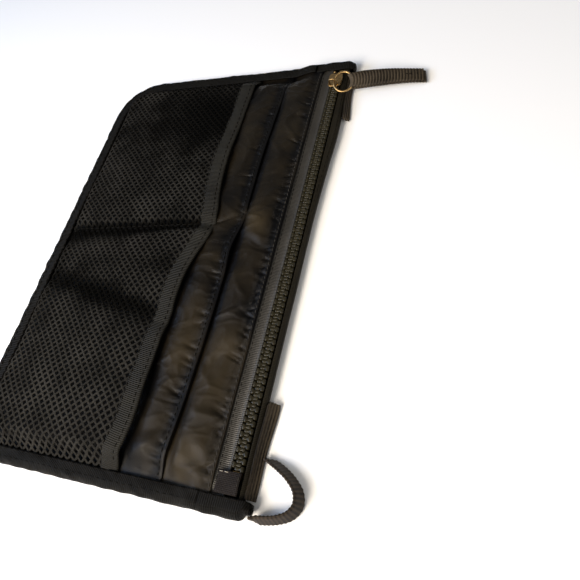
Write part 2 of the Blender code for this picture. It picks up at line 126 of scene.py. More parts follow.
def curve(points):
    """A smooth function through a few (x, y) points."""
    px, py = np.array(points, float).T
    slope = np.gradient(py, px)

    def at(x):
        x = np.clip(x, px[0], px[-1])
        i = np.clip(np.searchsorted(px, x, side="right") - 1, 0, len(px) - 2)
        h = px[i + 1] - px[i]
        t = (x - px[i]) / h
        return ((2 * t**3 - 3 * t**2 + 1) * py[i] + (t**3 - 2 * t**2 + t) * h * slope[i]
                + (3 * t**2 - 2 * t**3) * py[i + 1] + (t**3 - t**2) * h * slope[i + 1])
    return at


mouth_b = curve(MOUTH_B)
mouth_mesh = curve(MOUTH_MESH)
fold_y = curve(FOLD_Y)


def drift(x, y, size, seed, stretch=1.0):
    """A smooth random field of about -1 to 1 whose bumps are size wide, longer along Y by stretch."""
    rng = np.random.default_rng(seed)
    total = 0.0
    for _ in range(8):
        angle, phase = rng.uniform(0, 2 * pi, 2)
        wave = size * rng.uniform(1.2, 2.6)
        total = total + np.sin(2 * pi * (x * cos(angle) + y * sin(angle) / stretch) / wave + phase)
    return total / 4


def bump(x, y, centre, size, turn=0.0):
    """A soft hump of height 1 at centre, size across its two directions, turned by degrees."""
    c, s = cos(radians(turn)), sin(radians(turn))
    dx, dy = x - centre[0], y - centre[1]
    return np.exp(-(((dx * c + dy * s) / size[0]) ** 2) - ((dy * c - dx * s) / size[1]) ** 2)


def bumps(x, y, table):
    """The sum of several bumps, each given as height, centre, size and, if turned, its turn."""
    return sum(height * bump(x, y, *rest) for height, *rest in table)


def crumple(x, y, size, seed, stretch=1.0):
    """Sharp-crested folds of 0 to 1, about size apart, bent by a slower field."""
    x = x + 0.5 * size * drift(x, y, size * 2.2, seed + 1)
    y = y + 0.5 * size * drift(x, y, size * 2.2, seed + 2)
    return (1 - np.minimum(abs(drift(x, y, size, seed, stretch)) * 1.6, 1)) ** 1.6


def gathers(x, depth, seed, pitch, reach):
    """Puckers beside a sewn line: 0 to about 1, deepest at the line; depth is the way from it."""
    rng = np.random.default_rng(seed)
    total = np.zeros(np.broadcast(x, depth).shape)
    place = -122.0
    while place < 122:
        place += pitch * rng.uniform(0.5, 1.6)
        lean, deep = rng.uniform(-0.45, 0.45), rng.uniform(0.25, 1.0)
        length = reach * rng.uniform(0.45, 1.35)
        wide = pitch * rng.uniform(0.1, 0.2)
        away = np.maximum(depth, 0)
        spread = wide * (1 + 0.9 * away / length)
        total += deep * np.exp(-((x - place - lean * away) / spread) ** 2 - (away / length) ** 2)
    return total


def edge_distance(x, y):
    """How far a point lies inside the bound outline; the zipper side has no edge."""
    across, up = HALF_LENGTH - abs(x), y - BOTTOM_Y
    corner = CORNER_R - np.hypot(CORNER_R - across, CORNER_R - up)
    return np.where((across < CORNER_R) & (up < CORNER_R), corner, np.minimum(across, up))


def mouth_share(y):
    """0 where the sides are bound flat, 1 where they are open at the zipper."""
    return smooth((y - MOUTH_RISE[0]) / (MOUTH_RISE[1] - MOUTH_RISE[0]))


def fullness(x, y):
    field = smooth((edge_distance(x, y) - BINDING_W) / RISE)
    return field + (1 - field) * mouth_share(y)


def lowest_y(x):
    past = abs(x) - (HALF_LENGTH - CORNER_R)
    r = CORNER_R - INSET
    return BOTTOM_Y + CORNER_R - np.where(past <= 0, r, np.sqrt(np.maximum(r * r - past * past, 0)))


def divider_x(y):
    """The seam that splits the mesh into two pockets and goes on up pocket B."""
    return -9.6 + (20 - y) * 0.055 - 5.5 * smooth((y - 26) / 18)


# -------------------------------- surfaces of the cloth layers
# Folds of the pockets as the photo shows them: height, centre, size, turn in degrees
BULGE_A = ((-9, 52.5), (10.5, 7.5), 14)
FOLDS_A = [(-1.0, (2.0, 53), (2.6, 7), -32), (-0.9, (-21, 55), (2.0, 6), 38),
           (1.9, (57, 53), (4.4, 11), 62), (-1.6, (63.5, 51), (2.8, 9), 66),
           (1.0, (30, 50), (14, 6)), (1.2, (92, 49), (17, 6.5), -8),
           (-0.7, (108, 55), (3.5, 7), -30), (0.8, (103, 57), (3.0, 6), -35),
           (0.9, (-92, 56), (3.2, 9), -48), (-0.8, (-86, 54), (2.6, 8), -52),
           (0.8, (-52, 52), (16, 6)), (0.8, (-31, 57), (3, 7), 40)]
FOLDS_B = [(1.2, (78, 30), (26, 7)), (1.1, (28, 31), (15, 6.5)), (0.8, (104, 31), (3.6, 8), 30),
           (-0.8, (99, 33), (2.6, 7), 24), (0.9, (-48, 32), (18, 6)), (0.6, (-96, 33), (12, 7)),
           (-0.8, (50, 33), (2.2, 7), 35)]
HEM_B_STANDS = [(0.5, (60, 0), (40, 1)), (1.5, (6, 0), (11, 1)), (0.5, (-60, 0), (35, 1))]
NET_SLACK = [(-1.0, (38, -20), (6.5, 48), -14), (0.28, (88, -22), (28, 50)),
             (-0.64, (-88, -6), (30, 42)), (0.1, (-48, -8), (20, 20))]
PUCKER = 2.6                     # depth of the gathers under both hems
LOWEST = 0.05                    # the cloth stays at least this far above its base


def front_height(x, y):
    return between(FRONT_Z, fullness(x, y))


def pocket_a_height(x, y):
    """Middle of pocket A's cloth: soft folds, a bulge by the divider, puckers under the hem."""
    open_part = smooth((y - 40) / 6) * smooth((edge_distance(x, y) - BINDING_W) / 8)
    hem = HEM_A_Y - 1.6
    pillow = np.sin(pi * np.clip((y - 40) / (hem - 38.5), 0, 1))
    z = 0.35 + (1.5 + 0.5 * drift(x, 0 * y, 30, 5)) * pillow + 0.4 * drift(x, y, 22, 3, 2.2)
    z += (0.75 * crumple(x, y, 13, 104, 1.8) + 0.35 * crumple(x, y, 6, 105, 1.4)) * (0.3 + 0.7 * pillow)
    z += 1.35 * smooth(1.35 * bump(x, y, *BULGE_A)) + bumps(x, y, FOLDS_A)
    z -= PUCKER * gathers(x, hem - y, 11, 4.2, 4.4) * smooth((hem + 0.9 - y) / 0.9)
    at_hem = smooth((y - hem + 3) / 4)
    z = z * (1 - 0.75 * at_hem) + 0.78 * at_hem
    return between(POCKET_A_Z, fullness(x, y)) + np.maximum(z, LOWEST) * open_part


def pocket_b_height(x, y):
    """Middle of pocket B's cloth: like A's, sewn down along the divider, its hem standing off."""
    hem = mouth_b(x) - 2.3
    open_part = smooth((y - 12) / 10) * smooth((edge_distance(x, y) - BINDING_W) / 10)
    pillow = np.sin(pi * np.clip((y - 20) / (hem - 18.5), 0, 1))
    z = 0.3 + (1.3 + 0.4 * drift(x, 0 * y, 28, 6)) * pillow + 0.35 * drift(x, y, 20, 7, 2.4)
    z += (0.7 * crumple(x, y, 12, 108, 1.8) + 0.3 * crumple(x, y, 5.5, 109, 1.4)) * (0.3 + 0.7 * pillow)
    z += bumps(x, y, FOLDS_B)
    z -= PUCKER * gathers(x, hem - y, 21, 4.4, 4.4) * smooth((hem + 0.8 - y) / 0.8)
    stand = 0.85 + bumps(x, 0, HEM_B_STANDS) + 0.25 * drift(x, 0 * x, 16, 9)
    at_hem = smooth((y - hem + 5) / 7)
    z = z * (1 - 0.8 * at_hem) + stand * at_hem
    seam = np.exp(-(abs(x - divider_x(y)) / 1.5) ** 1.2) * smooth((y - 15) / 5)
    z = z * (1 - 0.9 * seam) + 0.1 * seam
    return between(POCKET_B_Z, fullness(x, y)) + np.maximum(z, LOWEST) * open_part


def mesh_height(x, y):
    """Middle of the net: two slack pockets, sewn down along the divider."""
    inside = edge_distance(x, y) - BINDING_W
    off = x - divider_x(y)
    reach = np.where(off < 0, 3.4, 6.0 + 11.0 * smooth((12 - y) / 75))
    bulge = smooth(inside / 9) * smooth((abs(off) - 0.6) / reach) ** np.where(off < 0, 0.6, 1.1)
    seam = 0.3 * np.exp(-(off / 2.6) ** 2) * smooth(inside / 12)
    slack = 0.86 + 0.12 * drift(x, y, 30, 31) + bumps(x, y, NET_SLACK)
    slack = slack - 0.24 * smooth((y - mouth_mesh(x) + 18) / 14)
    return between(MESH_Z, smooth(inside / 10)) - seam + MESH_BULGE * bulge * np.clip(slack, 0.12, 1.1)


# -------------------------------- making meshes
def placed(name, data):
    """A new object with this data, linked to the scene."""
    obj = bpy.data.objects.new(name, data)
    bpy.context.scene.collection.objects.link(obj)
    return obj


def mesh_object(name, points, faces, material, body="pouch", replaced=(), slot=None, weave=None):
    """A piece of the pouch from points in millimetres; it rides on body."""
    mesh = bpy.data.meshes.new(name)
    mesh.from_pydata((np.asarray(points, float) * MM).tolist(), [], [list(f) for f in faces])
    if weave is not None:
        attribute = mesh.attributes.new("weave", "FLOAT_VECTOR", "POINT")
        attribute.data.foreach_set("vector", np.asarray(weave, np.float32).ravel())
    mesh.materials.append(material)
    mesh.shade_smooth()
    obj = placed(name, mesh)
    outward(obj)
    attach(obj, body)
    if replaced:
        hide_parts(*replaced)
    return obj


def outward(obj):
    bm = bmesh.new()
    bm.from_mesh(obj.data)
    bmesh.ops.recalc_face_normals(bm, faces=bm.faces)
    bm.to_mesh(obj.data)
    bm.free()


def grid_faces(rows, columns, start=0, wrap=False):
    """Quads between neighbouring points of a grid of rows by columns; wrap joins each row's ends."""
    i, j = np.meshgrid(np.arange(rows - 1), np.arange(columns if wrap else columns - 1), indexing="ij")
    i, j = i.ravel(), j.ravel()
    k = (j + 1) % columns
    quads = np.stack([i * columns + j, i * columns + k, (i + 1) * columns + k, (i + 1) * columns + j])
    return (quads.T + start).tolist()


def grid_normals(p):
    n = np.cross(np.gradient(p, axis=0), np.gradient(p, axis=1))
    return n / np.maximum(np.linalg.norm(n, axis=2, keepdims=True), 1e-9)


def sheet(name, p, thickness, material, weave=None, tone=0.0, **more):
    """A closed sheet of cloth whose middle is the grid p of points; tone is painted light and shade, kept in
    the third part of weave.
    """
    rows, width = p.shape[:2]
    half = np.broadcast_to(np.asarray(thickness, float), (rows, width))[..., None] / 2
    n = grid_normals(p)
    points = np.concatenate([(p + n * half).reshape(-1, 3), (p - n * half).reshape(-1, 3)])
    count = rows * width
    faces = grid_faces(rows, width) + grid_faces(rows, width, count)
    index = np.arange(count).reshape(rows, width)
    rim = np.concatenate([index[0, :-1], index[:-1, -1], index[-1, :0:-1], index[:0:-1, 0]])
    faces += [(a, b, b + count, a + count) for a, b in zip(rim, np.roll(rim, -1))]
    if weave is None:
        u = np.linalg.norm(np.diff(p, axis=0, prepend=p[:1]), axis=2).cumsum(0)
        v = np.linalg.norm(np.diff(p, axis=1, prepend=p[:, :1]), axis=2).cumsum(1)
        weave = stacked(u, v, tone)
    weave = np.concatenate([weave.reshape(-1, 3)] * 2)
    return mesh_object(name, points, faces, material, weave=weave, **more)


def tube_faces(count, size, start=0):
    """Faces of a solid with count sections of size points each, closed at both ends."""
    last = start + (count - 1) * size
    ends = [list(range(start, start + size)), list(range(last, last + size))]
    return grid_faces(count, size, start, wrap=True) + ends


def beads(name, parts, material, **more):
    """One piece from closed solids, each an array of sections by points."""
    points, faces, start = [], [], 0
    for rings in parts:
        count, size = rings.shape[:2]
        points.append(rings.reshape(-1, 3))
        faces += tube_faces(count, size, start)
        start += count * size
    mesh_object(name, np.concatenate(points), faces, material, **more)


def frames_along(path, up):
    """Unit vectors sideways and up at each point of a path, given one that is roughly up."""
    ahead = np.gradient(path, axis=0)
    ahead /= np.linalg.norm(ahead, axis=1, keepdims=True)
    side = np.cross(ahead, up)
    side /= np.linalg.norm(side, axis=1, keepdims=True)
    return side, np.cross(side, ahead)


def way_along(path):
    """Length of a path up to each of its points."""
    return np.concatenate([[0], np.linalg.norm(np.diff(path, axis=0), axis=1).cumsum()])


def resampled(path, step):
    """The same path with points step apart."""
    way = way_along(path)
    places = np.linspace(0, way[-1], max(2, int(way[-1] / step) + 1))
    return np.stack([np.interp(places, way, path[:, k]) for k in range(3)], 1)


STITCH_STEPS = 8                 # points of the path from one stitch to the next
STITCH_RINGS = 7                 # sections of thread in each stitch


def stitches(name, path, material, body="pouch", length=2.7, gap=0.9, radius=0.2, up=(0, 0, 1)):
    """A line of thread: short humps of thread along a path, each dipping into the cloth."""
    path = resampled(np.asarray(path, float), (length + gap) / STITCH_STEPS)
    side, top = frames_along(path, np.broadcast_to(np.asarray(up, float), path.shape))
    around = [(cos(a), sin(a)) for a in (2 * pi * k / 6 for k in range(6))]
    parts = []
    for start in range(0, len(path) - STITCH_STEPS, STITCH_STEPS):
        rings = []
        for k in range(STITCH_RINGS):
            i = start + k
            arch = sin(pi * k / (STITCH_RINGS - 1))
            r = radius * (0.45 + 0.55 * arch ** 0.5)
            centre = path[i] + top[i] * radius * (1.5 * arch - 0.75)
            rings.append([centre + r * (c * side[i] + s * top[i]) for c, s in around])
        parts.append(np.array(rings))
    beads(name, parts, material, body=body)


# -------------------------------- materials
def new_material(name, color, roughness, metallic=0.0, specular=0.5):
    mat = bpy.data.materials.new(name)
    mat.use_nodes = True
    shader = mat.node_tree.nodes["Principled BSDF"]
    shader.inputs["Base Color"].default_value = (*color, 1)
    shader.inputs["Roughness"].default_value = roughness
    shader.inputs["Metallic"].default_value = metallic
    shader.inputs["Specular IOR Level"].default_value = specular
    mat.diffuse_color = (*color, 1)
    return mat


class Graph:
    """Short ways to add nodes to a material."""

    def __init__(self, mat):
        self.nodes, self.links = mat.node_tree.nodes, mat.node_tree.links

    def fill(self, socket, value):
        """Links a socket to another node, or sets it to a number or a colour."""
        if isinstance(value, bpy.types.NodeSocket):
            self.links.new(value, socket)
        else:
            socket.default_value = (*value, 1) if isinstance(value, tuple) else value

    def add(self, kind, inputs, **settings):
        """A new node; inputs gives its sockets' values by their names or numbers."""
        node = self.nodes.new("ShaderNode" + kind)
        for key, value in settings.items():
            setattr(node, key, value)
        for key, value in inputs.items():
            self.fill(node.inputs[key], value)
        return node

    def weave(self):
        """Position on the cloth in millimetres, along and across the piece, and its painted light and shade.
        """
        return self.add("Attribute", {}, attribute_name="weave").outputs["Vector"]

    def place(self):
        return self.add("TexCoord", {}).outputs["Object"]

    def part(self, vector, axis):
        return self.add("SeparateXYZ", {0: vector}).outputs[axis]

    def ribs(self, vector, pitch, direction, distortion):
        inputs = {"Vector": vector, "Scale": 0.31416 / pitch, "Distortion": distortion, "Detail": 1.0,
                  "Detail Scale": 2.0}
        return self.add("TexWave", inputs, bands_direction=direction).outputs["Fac"]

    def noise(self, vector, scale, detail=3.0):
        return self.add("TexNoise", {"Vector": vector, "Scale": scale, "Detail": detail}).outputs["Fac"]

    def math(self, operation, a, b):
        return self.add("Math", {0: a, 1: b}, operation=operation).outputs[0]

    def blend(self, factor, dark, light):
        return self.add("Mix", {0: factor, 6: dark, 7: light}, data_type="RGBA").outputs[2]

    def spread(self, value, low, high, start=0.0, end=1.0):
        """Takes values from start to end to values from low to high."""
        return self.add("MapRange", {"Value": value, "From Min": start, "From Max": end,
                                     "To Min": low, "To Max": high}).outputs[0]

    def bump(self, height, distance, strength=1.0, **under):
        inputs = {"Height": height, "Distance": distance, "Strength": strength, **under}
        return self.add("Bump", inputs).outputs["Normal"]

    def surface(self, **sockets):
        """Links the shader's sockets, named with _ for a space."""
        for key, value in sockets.items():
            self.fill(self.nodes["Principled BSDF"].inputs[key.replace("_", " ")], value)


def woven(name, color, light, roughness, pitch, depth, specular=0.12, rows=0.5):
    """Cloth with threads pitch apart; its colour varies a little, and with the painted light and shade in
    the third part of weave.
    """
    mat = new_material(name, color, roughness, specular=specular)
    g = Graph(mat)
    weave, place = g.weave(), g.place()
    heights = [g.ribs(weave, size, direction, 0.5) for size, direction in zip(pitch, "XY")]
    height = heights[0] if len(heights) == 1 else g.math("MULTIPLY", *heights)
    cloud = g.noise(place, 70.0)
    tone = g.math("ADD", g.math("MULTIPLY", height, rows), g.spread(cloud, -0.3, 0.6))
    # adds the painted light and shade kept in the third part of weave
    tone = g.math("ADD", tone, g.part(weave, "Z"))
    tone = g.math("ADD", tone, g.spread(g.noise(place, 1100.0, 2.0), -0.35, 0.35))
    g.surface(Base_Color=g.blend(tone, color, light), Normal=g.bump(height, depth),
              Roughness=g.spread(cloud, roughness - 0.08, roughness + 0.08))
    return mat


def thread(name, color, roughness):
    mat = new_material(name, color, roughness, specular=0.06)
    g = Graph(mat)
    g.surface(Roughness=g.spread(g.noise(g.place(), 900.0), roughness - 0.1, roughness + 0.15))
    return mat


def taffeta_material():
    """Thin shiny cloth of two tones; under the net its colour is painted dark as shade, and it turns dull
    there.
    """
    mat = new_material("taffeta", (0.01, 0.008, 0.005), 0.42, specular=0.11)
    g = Graph(mat)
    weave, place = g.weave(), g.place()
    fine = g.math("MULTIPLY", g.ribs(weave, 0.34, "X", 0.4), g.ribs(weave, 0.28, "Y", 0.4))
    creases = g.bump(g.noise(place, 170.0, 4.0), 0.0005, 0.6)
    # cloud: random noise plus the painted light and shade kept in the third part of weave
    cloud = g.math("ADD", g.spread(g.noise(place, 60.0, 2.0), -0.35, 0.35), g.part(weave, "Z"))
    # painted shade under the net: below Y = 16 mm the colour is blended towards near black, most of the way
    # below 6 mm
    clear_of_net_shade = g.spread(g.part(place, "Y"), 0.12, 1.0, 0.006, 0.016)
    color = g.blend(cloud, (0.0024, 0.0023, 0.0026), (0.035, 0.0262, 0.014))
    # the near-black colour here is the painted shade under the net
    g.surface(Base_Color=g.blend(clear_of_net_shade, (0.001, 0.001, 0.0009), color),
              Roughness=g.math("ADD", g.spread(cloud, 0.34, 0.46), g.spread(clear_of_net_shade, 0.45, -0.05)),
              Normal=g.bump(fine, 0.00004, Normal=creases))
    return mat


def speckled(mat, dark, light, rough, size, detail, grain):
    """Makes a hard material worn: a cloud of two colours and two roughnesses, and a fine grain."""
    g = Graph(mat)
    place = g.place()
    cloud = g.noise(place, size, detail)
    g.surface(Base_Color=g.blend(cloud, dark, light), Roughness=g.spread(cloud, *rough),
              Normal=g.bump(g.noise(place, grain), 0.00003))
    return mat


FABRIC = woven("nylon_panel", (0.0035, 0.0033, 0.0027), (0.011, 0.0102, 0.0075), 0.7, (0.62, 0.62),
               0.00016, 0.08)
TAFFETA = taffeta_material()
OLIVE = woven("zip_tape_olive", (0.007, 0.0058, 0.0036), (0.021, 0.0178, 0.0108), 0.6, (0.7,), 0.0001)
NET = woven("net_yarn", (0.0034, 0.0033, 0.003), (0.044, 0.042, 0.038), 0.55, (0.5, 0.5), 0.0001, 0.0)
GROSGRAIN = woven("grosgrain", (0.0018, 0.0016, 0.0014), (0.0095, 0.0088, 0.0074), 0.62, (0.95,),
                  0.0002, 0.08)
MOUTH_TAPE = woven("mouth_grosgrain", (0.004, 0.0038, 0.0032), (0.024, 0.0225, 0.0175), 0.62, (0.9,),
                   0.0002)
SATIN = woven("zip_tape_satin", (0.018, 0.017, 0.0155), (0.052, 0.049, 0.044), 0.42, (0.8,), 0.00012, 0.3)
WEBBING = woven("webbing_yarn", (0.0045, 0.0033, 0.0022), (0.051, 0.0365, 0.024), 0.6, (RIB,), 0.00014,
                0.15, 0.6)
TAN_WEBBING = woven("webbing_tan", (0.006, 0.0045, 0.003), (0.075, 0.058, 0.038), 0.6, (RIB,), 0.00014,
                    0.15, 0.6)
PATCH = woven("patch_cloth", (0.005, 0.004, 0.0038), (0.028, 0.022, 0.02), 0.65, (0.7, 0.7), 0.0002)
PLASTIC = speckled(new_material("teeth_plastic", (0.02, 0.018, 0.012), 0.34, specular=0.25),
                   (0.008, 0.0068, 0.0032), (0.028, 0.0235, 0.0105), (0.26, 0.44), 300.0, 3.0, 2500.0)
BRASS = speckled(new_material("brass_worn", (0.5, 0.33, 0.14), 0.3, 1.0),
                 (0.1, 0.06, 0.025), (0.62, 0.42, 0.19), (0.45, 0.25), 700.0, 4.0, 1500.0)
THREAD = thread("black_thread", (0.0065, 0.006, 0.005), 0.7)
# grey thread, lighter than the black thread: along hem A it is a painted highlight of the stitches
GREY_AND_HIGHLIGHT_THREAD = thread("grey_thread_and_painted_highlight", (0.042, 0.039, 0.034), 0.6)
PALE_THREAD = thread("pale_thread", (0.42, 0.38, 0.32), 0.6)


# -------------------------------- panels and pockets
def x_steps(step=1.0, limit=HALF_LENGTH - INSET):
    """Places along X about step apart, from -limit to limit."""
    return np.linspace(-limit, limit, int(2 * limit / step) + 1)


def rows_between(low, high, count):
    """Rows of Y from low to high, both of them given per column."""
    t = np.linspace(0, 1, count)
    return low[:, None] + (high - low)[:, None] * t


def with_hem(x, y, z, width):
    """Points of a sheet with a rolled edge added to its last row, and cloth turned under for width."""
    r = HEM_FOLD
    top_y, top_z = y[:, -1:], z[:, -1:]
    angle = np.radians([40, 80, 120, 160, 180])
    back = width * np.linspace(0.15, 1, 5)
    y = np.hstack([y, top_y + r * np.sin(angle), top_y - back])
    z = np.hstack([z, top_z - r + r * np.cos(angle), top_z - 2 * r - 0 * back])
    return stacked(x[:, None], y, z)


def build_back_panel():
    """Plain back; at the zipper side it turns up and meets the zipper's tape."""
    x = x_steps(2.0)
    foot = fold_y(x) - 1.6
    y = rows_between(lowest_y(x), foot, 84)
    inside = smooth((edge_distance(x[:, None], y) - BINDING_W) / 7)
    z = 1.25 - 0.62 * inside + inside * 0.08 * drift(x[:, None], y, 26, 41)
    turn = np.radians([20, 40, 60, 80, 88, 90])
    climb = np.linspace(0, 1, len(turn)) ** 2
    wall_y = foot[:, None] + 1.1 * np.sin(turn) + 0.3 * climb
    wall_z = z[:, -1:] + 1.1 * (1 - np.cos(turn)) + 2.5 * climb
    p = stacked(x[:, None], np.hstack([y, wall_y]), np.hstack([z, wall_z]))
    panel = sheet("back_panel_cloth", p, BACK_T, FABRIC, replaced=["back_panel"], slot="fabric")


def build_front_panel():
    x = x_steps(3.0)
    y = rows_between(lowest_y(x), np.full(len(x), FRONT_TOP_Y - 2.2), 60)
    p = stacked(x[:, None], y, front_height(x[:, None], y))
    panel = sheet("front_panel_cloth", p, 0.4, FABRIC, replaced=["front_panel"], slot="fabric")


# Painted light and shade on the cloth and the net: strength, centre, size, turn in degrees
PAINTED_LIGHT_A = [(0.75, (-10, 52), (9, 6.5), 14), (-0.3, (1, 54), (3, 7), -30)]
PAINTED_LIGHT_B = [(0.5, (60, 33), (26, 9)), (0.03, (98, 33), (14, 9))]
PAINTED_LIGHT_NET = [(-0.8, (38, -20), (5.5, 48), -14), (-0.62, (-86, 0), (27, 42)),
            (0.16, (88, -22), (28, 60)), (-0.12, (18, -10), (14, 40))]


def painted_light_a(x, y):
    """Painted light and shade on pocket A's cloth: brown at the near end and on the lit bulge, dark as shade
    at both edges.
    """
    tone = 0.22 + 0.42 * smooth((x - 35) / 30) + bumps(x, y, PAINTED_LIGHT_A) + 0.12 * drift(x, y, 16, 13, 1.6)
    return tone - 0.25 * smooth((y - 57) / 5) - 0.34 * smooth((48 - y) / 4)


def painted_light_b(x, y):
    """The same painted light and shade for pocket B: brown where it swells towards the near end, dark as
    shade at both edges.
    """
    tone = 0.2 + bumps(x, y, PAINTED_LIGHT_B) + 0.1 * drift(x, y, 15, 15, 1.6)
    return tone - 0.25 * smooth((y - mouth_b(x) + 7) / 4) - 0.15 * smooth((28 - y) / 5)


def build_pocket(name, node, height, top, fine_from, hem, painted_light):
    """A taffeta pocket: coarse where it is covered, fine where it shows, with a rolled hem."""
    x = x_steps(0.7)
    top_y = top(x)
    start = np.full(len(x), fine_from)
    y = np.hstack([rows_between(lowest_y(x), start, 26)[:, :-1],
                   rows_between(start, top_y, int((top_y.max() - fine_from) / 0.7))])
    p = with_hem(x, y, height(x[:, None], y), hem)
    # tone: painted light and shade, kept in the third part of weave
    piece = sheet(name, p, CLOTH_T, TAFFETA, tone=painted_light(p[..., 0], p[..., 1]), replaced=[node],
                  slot="taffeta")


def build_pockets():
    build_pocket("pocket_a_cloth", "pocket_a", pocket_a_height,
                 lambda x: np.full(len(x), HEM_A_Y - HEM_FOLD), 38.0, 2.6, painted_light_a)
    build_pocket("pocket_b_cloth", "pocket_b", pocket_b_height,
                 lambda x: mouth_b(x) - HEM_FOLD, 12.0, 4.2, painted_light_b)
    lift = CLOTH_T / 2 + 0.05
    x = x_steps(1.0, HALF_LENGTH - BINDING_W - 1)
    # hem A's stitches use the lighter grey thread as a painted highlight
    for name, y, height, yarn in (("stitch_hem_a", HEM_A_Y - 0.95 + 0 * x, pocket_a_height, GREY_AND_HIGHLIGHT_THREAD),
                                  ("stitch_hem_b", mouth_b(x) - 2.0, pocket_b_height, THREAD)):
        stitches(name, stacked(x, y, height(x, y) + lift), yarn, length=1.7, gap=0.9)
    y = np.linspace(29, 38.5, 30)
    x = divider_x(y)
    stitches("stitch_divider_b", stacked(x, y, pocket_b_height(x, y) + lift), THREAD)


# -------------------------------- net pockets
NET_X, NET_Y = 2.05, 2.0         # half of a diamond's length and of its width
NET_HOLE = 0.56                  # size of the opening as a share of the diamond
NET_YARN = 0.3                   # half the yarn's thickness
KNOT, TWIST = 1.25, 0.85         # thickness at the diamond's corners and sides, as shares of it
NET_I, NET_J = 65, 42            # half diamonds from the origin to either end, and below it
NET_TOP = 16                     # half diamonds above it


def painted_light_net(x, y):
    """Painted light and shade on the net: dark as shade in its fold, on the near side of the divider and at
    the far end.
    """
    off = x - divider_x(y)
    wide = np.where(off < 0, 1.6, 2.6 + 6.5 * smooth((14 - y) / 75))
    return 0.12 - 0.8 * np.exp(-(off / wide) ** 2) + bumps(x, y, PAINTED_LIGHT_NET) + 0.07 * drift(x, y, 18, 33)


def build_net(name, first_x, last_x):
    """A knitted net: one closed body of rounded yarn with a diamond opening in every cell."""
    i, j = np.meshgrid(np.arange(-NET_I, NET_I + 1), np.arange(-NET_J, NET_TOP + 2), indexing="ij")
    x, y = i * NET_X, j * NET_Y
    knots = stacked(x + 0.22 * drift(x, y, 16, 51), y + 0.22 * drift(x, y, 16, 52))
    points, faces, index, sides = [], [], {}, {}

    def point(key, place, height):
        """Number of the point with this key, which is made at its first use."""
        if key not in index:
            index[key] = len(points)
            points.append((*place, height))
        return index[key]

    for i in range(int(-HALF_LENGTH / NET_X), int(HALF_LENGTH / NET_X) + 1):
        for j in range(int(BOTTOM_Y / NET_Y), NET_TOP):
            x, y = i * NET_X, j * NET_Y
            within = edge_distance(x, y) > 7.5 and y < mouth_mesh(x) - 3.5
            if (i + j) % 2 == 0 or not within or not first_x <= x <= last_x:
                continue
            corners = [(i + 1, j), (i, j + 1), (i - 1, j), (i, j - 1)]
            outer = []
            for a, b in zip(corners, corners[1:] + corners[:1]):
                here, ahead = (knots[c[0] + NET_I, c[1] + NET_J] for c in (a, b))
                outer.append((a, here, KNOT))
                outer.append((frozenset((a, b)), (here + ahead) / 2, TWIST))
            centre = sum(place for _, place, _ in outer) / 8
            loops = []
            for side in (1, -1):
                edge = [point((side, key), place, side * NET_YARN * yarn) for key, place, yarn in outer]
                middle = []
                for k, (_, place, _) in enumerate(outer):
                    share = 0.5 + 0.5 * NET_HOLE - (0.0 if k % 2 else 0.03)
                    middle.append(point((side, i, j, k), centre + (place - centre) * share,
                                        side * NET_YARN * 0.72))
                loops.append((edge, middle))
            hole = [point((i, j, k), centre + (place - centre) * (NET_HOLE * (0.98 if k % 2 else 1.0)), 0)
                    for k, (_, place, _) in enumerate(outer)]
            top, under = loops[0][0], loops[1][0]
            for edge, middle in loops:
                for k in range(8):
                    m = (k + 1) % 8
                    faces.append((edge[k], edge[m], middle[m], middle[k]))
                    faces.append((middle[k], middle[m], hole[m], hole[k]))
            for k in range(8):
                m = (k + 1) % 8
                pair = frozenset((top[k], top[m]))
                sides[pair] = None if pair in sides else (top[k], top[m], under[m], under[k])
    faces += [quad for quad in sides.values() if quad]
    xyz = np.array(points)
    x, y = xyz[:, 0], xyz[:, 1]
    xyz[:, 2] += mesh_height(x, y)
    # the third part of weave holds the net's painted light and shade
    return mesh_object(name, xyz, faces, NET, replaced=["mesh_pockets"], slot="mesh",
                       weave=stacked(x + y, x - y, painted_light_net(x, y)))


def build_mesh_pockets():
    middle = divider_x(0.0)
    near = build_net("net_pocket_near", middle, HALF_LENGTH)
    far = build_net("net_pocket_far", -HALF_LENGTH, middle)
    y = np.linspace(BOTTOM_Y + 11, mouth_mesh(middle) - 8.5, 80)
    x = divider_x(y)
    stitches("stitch_divider_net", stacked(x, y, mesh_height(x, y) + 0.35), THREAD)


def mouth_tape_height(x):
    """Height of the net's mouth: it stands off the pocket behind, and is sewn down at the divider."""
    y = mouth_mesh(x)
    down = np.exp(-((x + 11) / 8.0) ** 2)
    stand = mesh_height(x, y - 5)
    return np.minimum(stand, 12.6) * (1 - 0.35 * down) + 0.35 * down * 7.7


